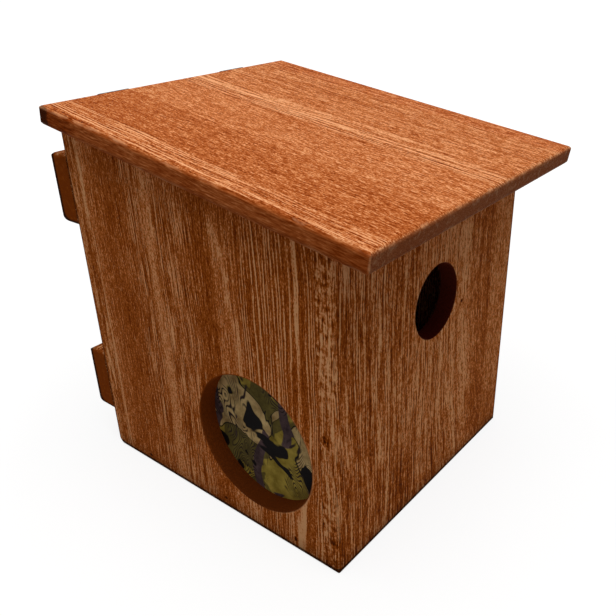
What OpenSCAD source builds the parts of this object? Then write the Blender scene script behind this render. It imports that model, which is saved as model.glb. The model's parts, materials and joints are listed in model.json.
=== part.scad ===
// Timber birdhouse with a sloping roof that hinges up at the back, a round entrance in the
// front panel and a round window with a printed sheet behind it in the left panel.
// Millimetres, +Z up. The entrance faces -Y and the window faces -X. The origin is the
// middle of the underside of the box.

/* [Box] */
// Width of the box, outside
body_w = 280; // [250:1:360]
// Depth of the box, outside
body_d = 300; // [270:1:400]
// Height of the box at its front face
front_h = 291; // [262:1:330]
// Height of the box at its back face
back_h = 340; // [330:1:400]
// Thickness of the front panel
front_t = 16; // [14:1:25]
// Thickness of the back panel
back_t = 22; // [20:1:30]
// Thickness of the two side panels
side_t = 18; // [16:1:25]
// Thickness of the floor
floor_t = 18; // [15:1:25]
// Radius of the back panel's two upright edges
edge_r = 3; // [1:0.5:5]
// Radius of the box's lower outer edges
base_edge_r = 3; // [1:0.5:6]
// Radius of the back panel's lower back edge
foot_r = 14; // [3:0.5:16]
// Radius of the front panel's two upright edges
front_edge_r = 4.5; // [3:0.5:12]
// Easing of the side panels' upright edges where they meet the front and back
joint_ease = 0.4; // [0.2:0.1:1]
// Gap between the side panels and the roof
side_top_gap = 1.2; // [0.5:0.1:3]

/* [Roof] */
// Thickness of the roof
roof_t = 18; // [16:1:25]
// Overhang of the roof past each side of the box
roof_side_overhang = 14; // [6:1:40]
// Overhang of the roof past the front, along the slope
roof_front_overhang = 39; // [15:1:80]
// Radius of the roof's upper edges
roof_edge_r = 4; // [1:0.5:6]
// Radius of the roof's lower edges
roof_under_r = 6; // [1:0.5:8]
// Radius of the roof's four corners, seen from above
roof_corner_r = 2; // [1:0.5:12]
// Gap between the closed roof and the panels it rests over
roof_seat_gap = 0.3; // [0.2:0.1:0.8]

/* [Entrance] */
// Diameter of the entrance hole
entrance_d = 66.6; // [28:0.2:80]
// Height of the entrance hole's middle above the floor
entrance_rise = 180.5; // [120:0.5:190]
// Radius of the softened rims of the two holes
rim_r = 1; // [0.5:0.1:2]

/* [Window] */
// Diameter of the window hole
window_d = 130; // [60:1:150]
// Wood left between the window and the front panel, and between it and the floor
window_edge = 10; // [9:0.5:20]
// Lap of the printed sheet over the wood round the window
sheet_lap = 7.5; // [5:0.5:8]
// Thickness of the printed sheet
sheet_t = 3; // [2:0.5:5]
// Distance of the sheet's screws from its edges
sheet_screw_inset = 15; // [12:0.5:18]

/* [Cleats] */
// Thickness of the two cleats
cleat_t = 26; // [18:1:40]
// Height of the upper cleat
upper_cleat_h = 66.5; // [40:1:90]
// Height of the lower cleat
lower_cleat_h = 68.5; // [40:1:90]
// Distance from the underside of the box to the lower cleat
lower_cleat_lift = 42.5; // [20:0.5:80]
// Gap between the hinge leaves and the upper cleat
cleat_leaf_gap = 3.5; // [2:0.5:15]
// Distance of the cleats' ends from the sides of the box
cleat_end_inset = 0.5; // [0:0.5:20]
// Radius of the cleats' softened edges
cleat_r = 4; // [1:0.5:8]
// Radius of the cleats' lower back edges
cleat_foot_r = 14; // [2:0.5:16]
// Radius of the cleats' upper back edges
cleat_top_r = 10; // [2:0.5:12]

/* [Hinges] */
// Width of each hinge
hinge_w = 38; // [30:1:60]
// Distance between the middles of the two hinges
hinge_spacing = 152; // [90:1:180]
// Thickness of the hinge leaves
leaf_t = 1.5; // [1.2:0.1:1.8]
// Height of the leaf on the back panel, from the pin down
lower_leaf_h = 20; // [18:1:30]
// Distance from the roof's top face down to the tops of the roof leaves
leaf_setback = 1; // [0:0.5:3]
// Radius of the hinge barrels
barrel_r = 3.6; // [3.4:0.1:5]
// Radius of the hinge pins
pin_r = 2; // [1.5:0.1:2.2]
// Number of knuckles in a barrel
knuckle_count = 5; // [3:2:7]
// Distance of the leaf screws from the pin
leaf_screw_drop = 12; // [10:0.5:14]
// Distance between the two screws of a leaf
leaf_screw_spacing = 24; // [16:1:26]

/* [Fasteners] */
// Radius of the leaf and sheet screws
small_screw_r = 1.5; // [1.2:0.1:1.8]
// Length of the leaf screws
leaf_screw_len = 14; // [10:1:17]
// Length of the sheet screws
sheet_screw_len = 10; // [8:1:12]
// Radius of the cleat screws
cleat_screw_r = 2.25; // [1.8:0.05:3]
// Length of the cleat screws
cleat_screw_len = 42; // [32:1:44]
// Screws in each cleat
cleat_screw_count = 4; // [2:2:6]
// Distance of the outer cleat screws from the cleat's ends
cleat_screw_inset = 30; // [15:1:45]
// Radius of the dowels in the glued joints
dowel_r = 4; // [3:0.5:4]
// Length of the dowels
dowel_len = 30; // [26:1:36]
// Wood left between a dowel and the outside of a panel
dowel_skin = 6; // [4:0.5:8]

/* [Hidden] */
$fn = 64;

// Clearances and small sizes of the hardware
cut = 2;              // how far a cutting shape runs past the face it cuts
pin_clearance = 0.05; // between a pin and the knuckles that turn on it
knuckle_gap = 0.3;    // between neighbouring knuckles, and round them
barrel_clearance = 0.3; // between the barrels and the wood behind and above them
glue_gap = 0.5;       // behind each end of a dowel
floor_clearance = 0.2; // round the floor, inside the panels
pin_head_t = 0.8;     // thickness of the peened ends of a hinge pin
pin_head_lip = 0.7;   // how far they stand out past the pin
leaf_corner_r = 3;    // free corners of the leaves
dowel_chamfer = 1;
dowel_margin = 10;    // from the window's top to the middle dowels
dowel_drop = 45;      // from the top of a panel to its upper dowels
recess_w = 0.9;       // arms of the cross recess in a screw head
recess_depth = 1.1;
head_scale = 2;       // head radius over screw radius

// The box's inner and outer faces
half_w = body_w / 2;
front_y = -body_d / 2;
back_y = body_d / 2;
side_x = half_w - side_t;
side_front_y = front_y + front_t;
side_back_y = back_y - back_t;
side_d = side_back_y - side_front_y;
blank_h = max(front_h, back_h) + cut;

// The slope of the roof
slope = atan((back_h - front_h) / body_d);
roof_w = body_w + 2 * roof_side_overhang;

// The hinge axis: tangent to the wood behind and above it, in the box's own frame
hinge_y = back_y + barrel_r + barrel_clearance;
hinge_v = roof_seat_gap - barrel_clearance - barrel_r;
hinge_u = (hinge_y - front_y + hinge_v * sin(slope)) / cos(slope);
hinge_z = front_h + hinge_u * sin(slope) + hinge_v * cos(slope);

// The roof ends where the roof leaves, curled off the back of the barrels, lie flat on it
roof_end_u = hinge_u + barrel_r - leaf_t;
roof_len = roof_end_u + roof_front_overhang;

// The window's middle
window_y = side_front_y + window_edge + window_d / 2;
window_z = floor_t + window_edge + window_d / 2;
sheet_size = window_d + 2 * sheet_lap;
entrance_z = floor_t + entrance_rise;

// The cleats
cleat_w = body_w - 2 * cleat_end_inset;
upper_cleat_z = hinge_z - lower_leaf_h - cleat_leaf_gap - upper_cleat_h;
lower_cleat_z = lower_cleat_lift;

// Rows of dowels and screws
dowel_x = half_w - side_t / 2;
lower_dowel_z = floor_t + dowel_r;
middle_dowel_z = window_z + window_d / 2 + dowel_margin;
front_dowel_zs = [lower_dowel_z, middle_dowel_z, front_h - dowel_drop];
back_dowel_zs = [lower_dowel_z, middle_dowel_z, back_h - dowel_drop];
floor_dowel_ys = [for (k = [-1, 0, 1]) (side_front_y + side_back_y) / 2 + k * side_d / 3];
sheet_screw_reach = sheet_size / 2 - sheet_screw_inset;
cleat_screw_span = cleat_w - 2 * cleat_screw_inset;

// ---- Helpers -----------------------------------------------------------------------------

// A rectangle from [0, 0] whose corners have the radii [near left, near right, far right,
// far left]; a radius of 0 leaves a corner square.
module rounded_rect(w, h, radii) {
    corners = [[0, 0, 0], [w, 0, 90], [w, h, 180], [0, h, 270]];
    difference() {
        square([w, h]);
        for (k = [0:3]) if (radii[k] > 0)
            translate([corners[k][0], corners[k][1]]) rotate(corners[k][2]) corner_waste(radii[k]);
    }
}

// What rounding a square corner at the origin takes away
module corner_waste(r) {
    difference() {
        translate([-cut, -cut]) square(r + cut);
        translate([r, r]) circle(r);
    }
}

// A board from the origin to size, with its edges rounded: plan, front and side give the
// corner radii seen from above, from the front and from the left.
module board(size, plan, front, side) {
    intersection() {
        linear_extrude(size.z) rounded_rect(size.x, size.y, plan);
        translate([0, size.y, 0]) rotate([90, 0, 0])
            linear_extrude(size.y) rounded_rect(size.x, size.z, front);
        rotate([90, 0, 90]) linear_extrude(size.x) rounded_rect(size.y, size.z, side);
    }
}

// Turns the frame so that +Y runs up the roof's slope and +Z stands square to it
module on_slope() {
    translate([0, front_y, front_h]) rotate([slope, 0, 0]) children();
}

// Everything above the sloping tops of the panels, lowered by drop
module above_slope(drop) {
    on_slope() translate([-body_w, -body_d / 2, -drop]) cube([2 * body_w, 2 * body_d, blank_h]);
}

// A round hole along +Z through a board that starts at z = 0, with a softened near rim
module rimmed_hole(r, depth) {
    translate([0, 0, -cut]) cylinder(r = r, h = depth + 2 * cut);
    rotate_extrude() difference() {
        translate([0, -cut]) square([r + rim_r, rim_r + cut]);
        translate([r + rim_r, rim_r]) circle(rim_r);
    }
}

// A countersunk screw whose head is flush with z = 0 and whose point looks along -Z
module screw_blank(r, len, over = 0) {
    head_r = head_scale * r;
    rotate_extrude() polygon([[0, over], [head_r, over], [head_r, 0], [r, r - head_r],
        [r, 2 * r - len], [0, -len]]);
}

module screw(r, len) {
    arm = 2.2 * r;
    difference() {
        screw_blank(r, len);
        for (turn = [0, 90]) rotate(turn)
            translate([-arm / 2, -recess_w / 2, -recess_depth]) cube([arm, recess_w, recess_depth + cut]);
    }
}

// A chamfered dowel along +Y, with its middle at the origin; grow lengthens the blind hole
module dowel(grow = 0) {
    half = dowel_len / 2 + grow;
    rotate([90, 0, 0]) rotate_extrude() polygon([[0, -half], [dowel_r - dowel_chamfer, -half],
        [dowel_r, -half + dowel_chamfer], [dowel_r, half - dowel_chamfer],
        [dowel_r - dowel_chamfer, half], [0, half]]);
}

// ---- Where the fasteners go --------------------------------------------------------------

module at_front_dowels() {
    for (side = [-1, 1]) for (z = front_dowel_zs)
        translate([side * dowel_x, front_y + dowel_skin + dowel_len / 2, z]) children();
}

module at_back_dowels() {
    for (side = [-1, 1]) for (z = back_dowel_zs)
        translate([side * dowel_x, back_y - dowel_skin - dowel_len / 2, z]) children();
}

module at_floor_dowels() {
    for (side = [-1, 1]) for (y = floor_dowel_ys)
        translate([side * (half_w - dowel_skin - dowel_len / 2), y, floor_t / 2])
            rotate(90) children();
}

// The printed sheet's screws go in from inside the box, towards -X
module at_sheet_screws() {
    for (dy = [-1, 1]) for (dz = [-1, 1])
        translate([sheet_t - side_x, window_y + dy * sheet_screw_reach,
            window_z + dz * sheet_screw_reach]) rotate([0, 90, 0]) children();
}

module at_cleat_screws(z, h) {
    for (k = [0 : cleat_screw_count - 1])
        translate([cleat_screw_span * (k / (cleat_screw_count - 1) - 0.5), back_y + cleat_t, z + h / 2])
            rotate([-90, 0, 0]) children();
}

module at_lower_leaf_screws(side) {
    for (dx = [-0.5, 0.5])
        translate([side * hinge_spacing / 2 + dx * leaf_screw_spacing, back_y + leaf_t,
            hinge_z - leaf_screw_drop]) rotate([-90, 0, 0]) children();
}

module at_upper_leaf_screws(side) {
    on_slope() for (dx = [-0.5, 0.5])
        translate([side * hinge_spacing / 2 + dx * leaf_screw_spacing, roof_end_u + leaf_t,
            hinge_v + leaf_screw_drop]) rotate([-90, 0, 0]) children();
}

// ---- The box -----------------------------------------------------------------------------

module front_panel() {
    b = base_edge_r;
    f = front_edge_r;
    color("sienna") difference() {
        translate([-half_w, front_y, 0])
            board([body_w, front_t, blank_h], [f, f, 0, 0], [b, b, 0, 0], [b, 0, 0, 0]);
        above_slope(0);
        translate([0, front_y, entrance_z]) rotate([-90, 0, 0]) rimmed_hole(entrance_d / 2, front_t);
        at_front_dowels() dowel(glue_gap);
    }
}

module back_panel() {
    b = base_edge_r;
    r = edge_r;
    color("sienna") difference() {
        translate([-half_w, side_back_y, 0])
            board([body_w, back_t, blank_h], [0, 0, r, r], [b, b, 0, 0], [0, foot_r, 0, 0]);
        above_slope(0);
        at_back_dowels() dowel(glue_gap);
        for (side = [-1, 1]) at_lower_leaf_screws(side) screw_blank(small_screw_r, leaf_screw_len);
        at_cleat_screws(upper_cleat_z, upper_cleat_h) screw_blank(cleat_screw_r, cleat_screw_len);
        at_cleat_screws(lower_cleat_z, lower_cleat_h) screw_blank(cleat_screw_r, cleat_screw_len);
    }
}

// A side panel in its own place on the left; its outer face looks along -X
module side_blank() {
    e = joint_ease;
    difference() {
        translate([-half_w, side_front_y, 0])
            board([side_t, side_d, blank_h], [e, 0, 0, e], [base_edge_r, 0, 0, 0], [0, 0, 0, 0]);
        above_slope(side_top_gap);
        at_front_dowels() dowel(glue_gap);
        at_back_dowels() dowel(glue_gap);
        at_floor_dowels() dowel(glue_gap);
    }
}

module left_side_panel() {
    color("sienna") difference() {
        side_blank();
        translate([-half_w, window_y, window_z]) rotate([0, 90, 0]) rimmed_hole(window_d / 2, side_t);
        at_sheet_screws() screw_blank(small_screw_r, sheet_screw_len);
    }
}

module right_side_panel() {
    color("sienna") mirror([1, 0, 0]) side_blank();
}

module floor_panel() {
    c = floor_clearance;
    color("peru") difference() {
        translate([-side_x + c, side_front_y + c, 0])
            cube([2 * (side_x - c), side_d - 2 * c, floor_t]);
        at_floor_dowels() dowel(glue_gap);
    }
}

module roof_panel() {
    c = roof_corner_r;
    edges = [roof_under_r, roof_under_r, roof_edge_r, roof_edge_r];
    color("chocolate") difference() {
        on_slope() translate([-roof_w / 2, -roof_front_overhang, roof_seat_gap])
            board([roof_w, roof_len, roof_t], [c, c, c, c], edges, edges);
        for (side = [-1, 1]) at_upper_leaf_screws(side) screw_blank(small_screw_r, leaf_screw_len);
    }
}

// ---- Cleats, printed sheet and dowels ----------------------------------------------------

module cleat(z, h) {
    r = cleat_r;
    difference() {
        translate([-cleat_w / 2, back_y, z])
            board([cleat_w, cleat_t, h], [0, 0, r, r], [r, r, r, r], [0, cleat_foot_r, cleat_top_r, 0]);
        at_cleat_screws(z, h) screw_blank(cleat_screw_r, cleat_screw_len, cut);
    }
}

module upper_cleat() {
    color("saddlebrown") cleat(upper_cleat_z, upper_cleat_h);
}

module lower_cleat() {
    color("saddlebrown") cleat(lower_cleat_z, lower_cleat_h);
}

module window_sheet() {
    color("olivedrab") difference() {
        translate([-side_x, window_y - sheet_size / 2, window_z - sheet_size / 2])
            cube([sheet_t, sheet_size, sheet_size]);
        at_sheet_screws() screw_blank(small_screw_r, sheet_screw_len, cut);
    }
}

module front_dowels() {
    color("burlywood") at_front_dowels() dowel();
}

module back_dowels() {
    color("burlywood") at_back_dowels() dowel();
}

module floor_dowels() {
    color("burlywood") at_floor_dowels() dowel();
}

// ---- Hinges ------------------------------------------------------------------------------

knuckle_pitch = hinge_w / knuckle_count;

// The x-ranges of the knuckles whose number is even (the leaf on the box) or odd (the roof's),
// as blocks that the given height and depth fill around the pin
module knuckle_spans(first, spare, size) {
    for (k = [first : 2 : knuckle_count - 1])
        translate([-hinge_w / 2 + k * knuckle_pitch + spare, -size, -size])
            cube([knuckle_pitch - 2 * spare, 2 * size, 2 * size]);
}

// The barrel round the pin, which lies along X through the origin, with the given bore
module barrel(first, bore_r) {
    intersection() {
        translate([-hinge_w / 2, 0, 0]) rotate([0, 90, 0]) difference() {
            cylinder(r = barrel_r, h = hinge_w);
            translate([0, 0, -cut]) cylinder(r = bore_r, h = hinge_w + 2 * cut);
        }
        knuckle_spans(first, knuckle_gap / 2, barrel_r + cut);
    }
}

// A leaf's flat plate standing up from the pin's height: h high, with its free corners rounded
// and cleared round the other leaf's knuckles
module leaf_plate(h, first) {
    r = leaf_corner_r;
    difference() {
        translate([-hinge_w / 2, leaf_t, 0]) rotate([90, 0, 0])
            linear_extrude(leaf_t) rounded_rect(hinge_w, h, [0, 0, r, r]);
        knuckle_spans(1 - first, -knuckle_gap / 2, barrel_r + knuckle_gap);
        if (first == 1) leaf_end_relief();
    }
}

// The roof leaf has no knuckle at its ends, so its plate is cleared there too
module leaf_end_relief() {
    for (side = [-1, 1]) translate([side * hinge_w / 2, 0, 0])
        cube(2 * (knuckle_gap + barrel_r), center = true);
}

// The leaf on the back panel, with the knuckles that hold the pin
module lower_leaf(side) {
    difference() {
        union() {
            translate([side * hinge_spacing / 2, back_y, hinge_z]) mirror([0, 0, 1])
                leaf_plate(lower_leaf_h, 0);
            translate([side * hinge_spacing / 2, hinge_y, hinge_z]) barrel(0, pin_r);
        }
        translate([(side * hinge_spacing - hinge_w) / 2 - cut, hinge_y, hinge_z])
            rotate([0, 90, 0]) cylinder(r = pin_r, h = hinge_w + 2 * cut);
        at_lower_leaf_screws(side) screw_blank(small_screw_r, leaf_screw_len, cut);
    }
}

// The leaf on the end of the roof, with the knuckles that turn on the pin
module upper_leaf(side) {
    bore_r = pin_r + pin_clearance;
    h = roof_seat_gap + roof_t - leaf_setback - hinge_v;
    difference() {
        on_slope() {
            translate([side * hinge_spacing / 2, roof_end_u, hinge_v]) leaf_plate(h, 1);
            translate([side * hinge_spacing / 2, hinge_u, hinge_v]) barrel(1, bore_r);
        }
        at_upper_leaf_screws(side) screw_blank(small_screw_r, leaf_screw_len, cut);
    }
}

module hinge_pin(side) {
    head = pin_head_t;
    translate([(side * hinge_spacing - hinge_w) / 2, hinge_y, hinge_z]) rotate([0, 90, 0])
        rotate_extrude() polygon([[0, -head], [pin_r + pin_head_lip, -head], [pin_r + pin_head_lip, 0],
            [pin_r, 0], [pin_r, hinge_w], [pin_r + pin_head_lip, hinge_w],
            [pin_r + pin_head_lip, hinge_w + head], [0, hinge_w + head]]);
}

module left_lower_leaf() {
    color("dimgray") lower_leaf(-1);
}

module right_lower_leaf() {
    color("dimgray") lower_leaf(1);
}

module left_upper_leaf() {
    color("dimgray") upper_leaf(-1);
}

module right_upper_leaf() {
    color("dimgray") upper_leaf(1);
}

module left_hinge_pin() {
    color("gray") hinge_pin(-1);
}

module right_hinge_pin() {
    color("gray") hinge_pin(1);
}

// ---- Screws ------------------------------------------------------------------------------

module window_sheet_screws() {
    color("silver") at_sheet_screws() screw(small_screw_r, sheet_screw_len);
}

module lower_leaf_screws() {
    color("silver") for (side = [-1, 1]) at_lower_leaf_screws(side) screw(small_screw_r, leaf_screw_len);
}

module upper_leaf_screws() {
    color("silver") for (side = [-1, 1]) at_upper_leaf_screws(side) screw(small_screw_r, leaf_screw_len);
}

module upper_cleat_screws() {
    color("silver") at_cleat_screws(upper_cleat_z, upper_cleat_h) screw(cleat_screw_r, cleat_screw_len);
}

module lower_cleat_screws() {
    color("silver") at_cleat_screws(lower_cleat_z, lower_cleat_h) screw(cleat_screw_r, cleat_screw_len);
}

front_panel();
back_panel();
left_side_panel();
right_side_panel();
floor_panel();
roof_panel();
upper_cleat();
lower_cleat();
window_sheet();
window_sheet_screws();
left_lower_leaf();
right_lower_leaf();
left_upper_leaf();
right_upper_leaf();
left_hinge_pin();
right_hinge_pin();
lower_leaf_screws();
upper_leaf_screws();
upper_cleat_screws();
lower_cleat_screws();
front_dowels();
back_dowels();
floor_dowels();
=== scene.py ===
# %% [markdown]
# # A timber birdhouse
# The box is five stained boards, two cleats that hang it on a wall, and a roof board that lifts on
# two hinges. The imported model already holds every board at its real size, so this script gives the
# boards their finish, models the small hardware in finer detail, and sets up light and camera.

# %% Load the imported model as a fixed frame
import json
import math

import bmesh
import bpy
from mathutils import Matrix, Vector


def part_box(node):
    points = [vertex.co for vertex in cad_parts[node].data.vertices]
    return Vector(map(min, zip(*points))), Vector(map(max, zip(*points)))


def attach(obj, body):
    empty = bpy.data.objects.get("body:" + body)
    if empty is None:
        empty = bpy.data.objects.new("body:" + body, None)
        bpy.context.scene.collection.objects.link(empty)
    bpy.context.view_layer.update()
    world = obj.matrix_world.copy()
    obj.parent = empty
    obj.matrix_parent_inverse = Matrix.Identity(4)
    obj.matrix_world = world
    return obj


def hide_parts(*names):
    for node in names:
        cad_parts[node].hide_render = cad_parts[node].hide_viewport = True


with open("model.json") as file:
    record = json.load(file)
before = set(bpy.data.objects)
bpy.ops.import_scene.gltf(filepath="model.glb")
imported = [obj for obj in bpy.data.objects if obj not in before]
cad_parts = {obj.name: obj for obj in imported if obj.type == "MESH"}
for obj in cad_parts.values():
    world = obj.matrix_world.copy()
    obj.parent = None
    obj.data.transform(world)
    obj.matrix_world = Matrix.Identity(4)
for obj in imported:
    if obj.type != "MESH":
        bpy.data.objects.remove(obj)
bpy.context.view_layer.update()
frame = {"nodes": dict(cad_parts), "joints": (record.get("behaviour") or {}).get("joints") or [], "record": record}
nodes = frame["nodes"]
MM = 0.001

# %% Where the holes are
MOUNTS = {mount["name"]: mount for mount in frame["record"]["mounts"]}


def hole_mm(name):
    """A hole's middle and its radius in millimetres."""
    mount = MOUNTS[name]
    return [round(value / MM, 3) for value in mount["pos_m"]], mount["dims"]["r_mm"]


(ENTRANCE_X, _, ENTRANCE_Z), ENTRANCE_RADIUS = hole_mm("entrance_hole")
(_, WINDOW_Y, WINDOW_Z), WINDOW_RADIUS = hole_mm("window_hole")
print("entrance:", ENTRANCE_Z, ENTRANCE_RADIUS, "window:", WINDOW_Y, WINDOW_Z, WINDOW_RADIUS)

# %% [markdown]
# ## Short ways to build materials
# A material is a tree of nodes, and adding one by hand takes three or four lines. So a class
# holds the tree and adds what wood, steel and print need: arithmetic, noise, ramps, mixes and
# bumps. Most of its methods return the new node's output, so they can be nested.

# %% A node tree with helpers
TO_MM = (1000, 1000, 1000)


def srgb(red, green, blue):
    """A colour as it is seen, 0 to 255, turned to the linear values that shaders expect."""
    def linear(value):
        share = value / 255
        return share / 12.92 if share <= 0.04045 else ((share + 0.055) / 1.055) ** 2.4
    return (linear(red), linear(green), linear(blue), 1.0)


class Tree:
    """The node tree of a new material, or of another owner, such as the world."""

    def __init__(self, name, owner=None):
        self.owner = owner or bpy.data.materials.new(name)
        self.owner.use_nodes = True
        self.nodes = self.owner.node_tree.nodes
        self.shader = self.nodes.get("Principled BSDF")

    def feed(self, socket, value):
        """Links a socket to another, or gives it a plain value."""
        if isinstance(value, bpy.types.NodeSocket):
            self.owner.node_tree.links.new(value, socket)
        else:
            socket.default_value = value

    def add(self, kind, feeds=(), **settings):
        """Adds a node and feeds its inputs, in their order, or by name from a dictionary."""
        node = self.nodes.new("ShaderNode" + kind)
        for setting, value in settings.items():
            setattr(node, setting, value)
        for socket, value in feeds.items() if isinstance(feeds, dict) else enumerate(feeds):
            self.feed(node.inputs[socket], value)
        return node

    def math(self, operation, *values):
        return self.add("Math", values, operation=operation).outputs[0]

    def plus(self, a, b):
        return self.math("ADD", a, b)

    def minus(self, a, b):
        return self.math("SUBTRACT", a, b)

    def times(self, a, b):
        return self.math("MULTIPLY", a, b)

    def larger(self, a, b):
        return self.math("MAXIMUM", a, b)

    def layer(self, part, weight, base):
        """Adds a part, multiplied by its weight, to what is there."""
        return self.math("MULTIPLY_ADD", part, weight, base)

    def place(self, turn=(0, 0, 0), scale=(1, 1, 1), source="Object", vector=None, kind="POINT"):
        """Coordinates turned and scaled by a Mapping node."""
        vector = vector or self.add("TexCoord").outputs[source]
        feeds = {"Vector": vector, "Rotation": turn, "Scale": scale}
        return self.add("Mapping", feeds, vector_type=kind).outputs[0]

    def split(self, vector):
        return self.add("SeparateXYZ", [vector]).outputs

    def join(self, *parts):
        return self.add("CombineXYZ", parts).outputs[0]

    def noise(self, vector, scale=1.0, detail=2.0, roughness=0.5, distortion=0.0):
        feeds = {"Vector": vector, "Scale": scale, "Detail": detail, "Roughness": roughness,
                 "Distortion": distortion}
        return self.add("TexNoise", feeds).outputs["Fac"]

    def ramp(self, factor, stops, interpolation="LINEAR"):
        """A colour ramp through (position, colour) stops. A plain number stands for a grey."""
        node = self.add("ValToRGB", [factor])
        node.color_ramp.interpolation = interpolation
        elements = node.color_ramp.elements
        while len(elements) < len(stops):
            elements.new(0.5)
        for element, (position, colour) in zip(elements, stops):
            element.position = position
            element.color = colour if hasattr(colour, "__len__") else (colour,) * 3 + (1.0,)
        return node.outputs[0]

    def fit(self, value, low, high, to_low=0.0, to_high=1.0):
        """A value's range mapped to another and clamped."""
        return self.add("MapRange", [value, low, high, to_low, to_high]).outputs[0]

    def mix(self, factor, first, second, blend="MIX"):
        """Two colours mixed. A Mix node's inputs 6 and 7 and its output 2 are those for colours."""
        feeds = {0: factor, 6: first, 7: second}
        return self.add("Mix", feeds, data_type="RGBA", blend_type=blend).outputs[2]

    def surface(self, colour, roughness, **plain):
        """Feeds the shader: a colour, a roughness, and numbers that are the same all over."""
        self.feed(self.shader.inputs["Base Color"], colour)
        self.feed(self.shader.inputs["Roughness"], roughness)
        for socket, number in plain.items():
            self.shader.inputs[socket].default_value = number

    def bump(self, height, strength, distance):
        node = self.add("Bump", {"Height": height, "Strength": strength, "Distance": distance})
        self.feed(self.shader.inputs["Normal"], node.outputs[0])


def dress(piece, material):
    """Gives an object a material in place of those that it has."""
    piece.data.materials.clear()
    piece.data.materials.append(material)


print("a mid brown in linear values:", [round(value, 3) for value in srgb(184, 96, 29)])

# %% [markdown]
# ## Solid wood on a board's own axes
# Timber is a solid: the figure on a face runs through the board and out at its ends. So the
# material turns object coordinates to the board's own axes, X across the grain, Y through the
# board and Z along the grain, and each face shows a cut through one volume. Unwrapped faces
# would break the figure at every edge.

# %% A board's own axes
class Wood(Tree):
    """The tree of a board's material, in millimetres from its left to its right edge."""

    def __init__(self, name, turn, edges):
        super().__init__(name)
        self.edges = edges
        self.solid = self.place(turn=turn, scale=TO_MM)
        self.x, self.y, self.z = self.split(self.solid)
        normal = self.split(self.place(turn=turn, source="Normal", kind="VECTOR"))
        self.facing = [self.math("ABSOLUTE", part) for part in normal]

    def streaks(self, across, along, detail, roughness=0.5, vector=None):
        """A noise with one frequency across the grain and another along it."""
        spot = self.place(scale=(across, across, along), vector=vector or self.solid)
        return self.noise(spot, detail=detail, roughness=roughness)

    def from_edge_to_edge(self, where, stops, interpolation="LINEAR"):
        """Three values that change across the board, through (place, value, value, value) stops."""
        left, right = self.edges
        ramp = [((stop[0] - left) / (right - left), stop[1:4] + (1,)) for stop in stops]
        return self.split(self.ramp(self.fit(where, left, right), ramp, interpolation))

    def near(self, across, place, height, half_width, half_height):
        """How far a point is from a place on the board, where 1 is the rim of an ellipse."""
        a = self.math("DIVIDE", self.minus(across, place), half_width)
        b = self.math("DIVIDE", self.minus(self.z, height), half_height)
        return self.math("SQRT", self.layer(a, a, self.times(b, b)))


print("a board's axes: X across the grain, Y through the board, Z along the grain")

# %% [markdown]
# ## Grain
# Boards this wide are glued up from staves, so the tone jumps at each straight glue line. Along a
# stave run soft bands, year lines where the tree grew slowly, long fibres, and short pores that
# drink the stain. Each is a noise drawn out along the grain by its own amount. Their sum is one
# value, and a single ramp turns it to colour later, because one stain colours them all.

# %% Grain of a glued-up board
LINE_WEIGHT, FIBRE_WEIGHT, PORE_WEIGHT, SPECK_WEIGHT, CLOUD_WEIGHT = 1.25, 5.6, 1.8, 2.3, 0.2
STAVE_SHIFT = 900.0
YEAR_WIDTH = 4.1


def lean_of_grain(wood, drift):
    """How far the grain leans over between two heights, left of a glue line."""
    start, glue_line, top, bottom, run = drift
    lean = wood.times(wood.fit(wood.z, top, bottom, 0, run), wood.fit(wood.x, start, glue_line))
    return wood.times(lean, wood.math("LESS_THAN", wood.x, glue_line + 5))


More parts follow.
